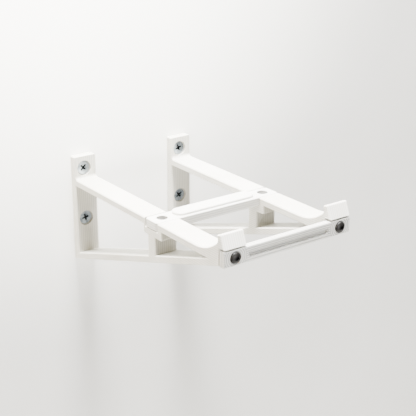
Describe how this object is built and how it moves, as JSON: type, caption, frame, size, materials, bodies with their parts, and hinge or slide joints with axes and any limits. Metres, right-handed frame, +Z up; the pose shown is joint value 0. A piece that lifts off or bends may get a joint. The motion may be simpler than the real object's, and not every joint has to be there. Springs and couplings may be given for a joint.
{
  "type": "wall cradle bracket",
  "caption": "Wall-mounted cradle of printed plastic: two triangular side brackets with upturned front lips, tied by a middle and a front cross bar, with its screws and plugs.",
  "frame": {"origin": "on the wall's face, midway between the two brackets and halfway between the upper and lower wall screws", "axes": "+X along the wall to the right as seen from the front, +Y into the wall, +Z up"},
  "size_m": [0.0772, 0.1703, 0.062],
  "materials": {
    "printed_plastic": "printed in layers, white, slightly satin",
    "zinc_steel": "bright zinc plate",
    "black_steel": "black oxide, oiled, glossy",
    "brass": "plain turned brass",
    "grey_nylon": "moulded nylon"
  },
  "bodies": {
    "root": {"front_cross_bar": "printed_plastic", "left_bracket": "printed_plastic", "left_front_insert": "brass", "left_front_screw": "black_steel", "left_lower_wall_plug": "grey_nylon", "left_lower_wall_screw": "zinc_steel", "left_middle_insert": "brass", "left_middle_screw": "black_steel", "left_upper_wall_plug": "grey_nylon", "left_upper_wall_screw": "zinc_steel", "middle_cross_bar": "printed_plastic", "right_bracket": "printed_plastic", "right_front_insert": "brass", "right_front_screw": "black_steel", "right_lower_wall_plug": "grey_nylon", "right_lower_wall_screw": "zinc_steel", "right_middle_insert": "brass", "right_middle_screw": "black_steel", "right_upper_wall_plug": "grey_nylon", "right_upper_wall_screw": "zinc_steel"}
  },
  "joints": []
}
